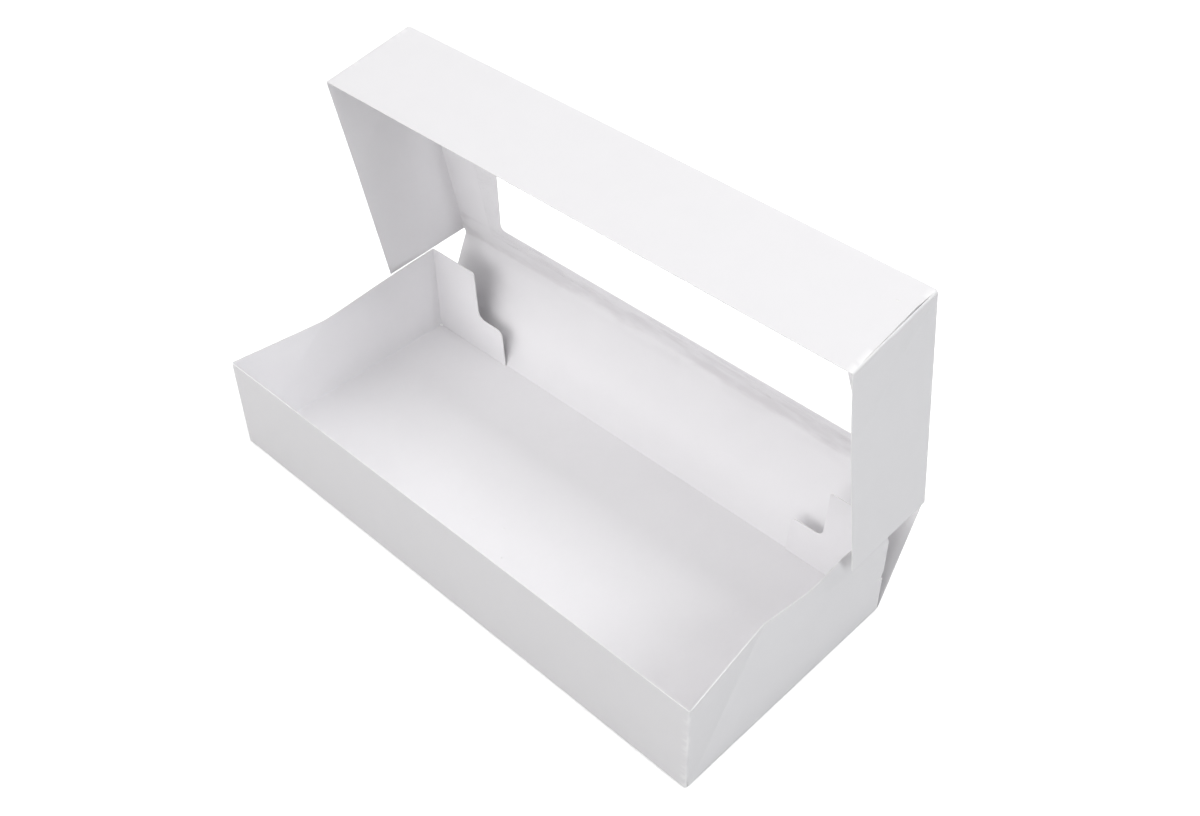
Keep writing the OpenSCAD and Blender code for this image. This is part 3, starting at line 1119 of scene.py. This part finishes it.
def place_lid(mesh):
    """Turns a mesh from the lid's own frame to where the lid rests, and bows its panel with the hinge.

    The turn mirrors the mesh, so its faces are flipped to look outwards again."""
    for vertex in mesh.vertices:
        x, y, z = vertex.co
        away = (LID_DEPTH - y) / BOW_REACH
        bowed = away < 1 and z < PANEL_LEVEL
        vertex.co = on_hinge(Vector((x, y, z - bow(x, away) if bowed else z)))
    mesh.flip_normals()


lid = make_lid()
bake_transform(lid)
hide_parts("back_wall", "lid")
print("lid and back wall board:", len(lid.data.polygons), "faces")

# %% [markdown]
# The window film is a clear sheet a tenth of a millimetre thick, glued behind the window with a narrow
# margin all round. Nearly all the light passes, so what shows is a faint reflection and the crumpled
# glue at the hinge.

# %% Window film
FILM = 0.1 * MM
FILM_MARGIN = 13 * MM
FILM_COLUMNS = 60
FILM_ROWS = 30
FILM_TINT = (0.95, 0.94, 0.95, 1)
FILM_ROUGHNESS = 0.12
FILM_IOR = 1.5
CLEAR_ALPHA = 0.012
GLUE_ALPHA = 0.04
# The glue reaches a little past the window's edge at the hinge, and is fainter along the other margins.
GLUE_PAST = 2 * MM
FAINT_GLUE = 0.4
CRUMPLE_SCALE, CRUMPLE_DETAIL, CRUMPLE_STRETCH = 75, 4.0, (0.35, 1.0, 1.0)
CRUMPLE_LOW, CRUMPLE_HIGH = 0.5, 0.62
CRUMPLE_DEPTH, CRUMPLE_STRENGTH = 0.5 * MM, 0.8


def make_film_finish():
    material, tree, shader = new_material("clear_film")
    shader.inputs["Base Color"].default_value = FILM_TINT
    shader.inputs["Roughness"].default_value = FILM_ROUGHNESS
    shader.inputs["IOR"].default_value = FILM_IOR
    glued = add_node(tree, "ShaderNodeAttribute", attribute_name="crumpled")
    crumple = grain(tree, CRUMPLE_SCALE, CRUMPLE_DETAIL, CRUMPLE_STRETCH)
    spots = patches(tree, crumple, CRUMPLE_LOW, CRUMPLE_HIGH, GLUE_ALPHA)
    glue = add_node(tree, "ShaderNodeMath", operation="MULTIPLY_ADD")
    tree.links.new(glued.outputs["Fac"], glue.inputs[0])
    tree.links.new(spots, glue.inputs[1])
    glue.inputs[2].default_value = CLEAR_ALPHA
    tree.links.new(glue.outputs[0], shader.inputs["Alpha"])
    wrinkle = bump(tree, crumple, CRUMPLE_DEPTH, CRUMPLE_STRENGTH)
    tree.links.new(wrinkle, shader.inputs["Normal"])
    return material


def make_film():
    film_half = LID_HALF - WINDOW_SIDE + FILM_MARGIN
    near = WINDOW_FRONT - FILM_MARGIN
    far = LID_DEPTH - WINDOW_HINGE + FILM_MARGIN
    sheet = Sheet()
    xs = spread(-film_half, film_half, FILM_COLUMNS)
    ys = spread(near, far, FILM_ROWS)

    def point(i, j):
        return xs[j], ys[i], BOARD + FILM

    def glued(i, j):
        if ys[i] > LID_DEPTH - WINDOW_HINGE - GLUE_PAST:
            return 1.0
        beside = abs(xs[j]) > LID_HALF - WINDOW_WAIST or ys[i] < WINDOW_FRONT
        return FAINT_GLUE if beside else 0.0

    sheet.lay(FILM_ROWS, FILM_COLUMNS, point, Vector((0, 0, -1)), crumpled=glued)
    piece = sheet.finish("window_film_sheet")
    place_lid(piece.data)
    piece.data.materials.append(make_film_finish())
    modifier = piece.modifiers.new("film", "SOLIDIFY")
    modifier.thickness = FILM
    modifier.offset = 0
    return baked(piece)


film = make_film()
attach(film, "lid")
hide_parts("window_film")
print("film:", len(film.data.polygons), "faces")
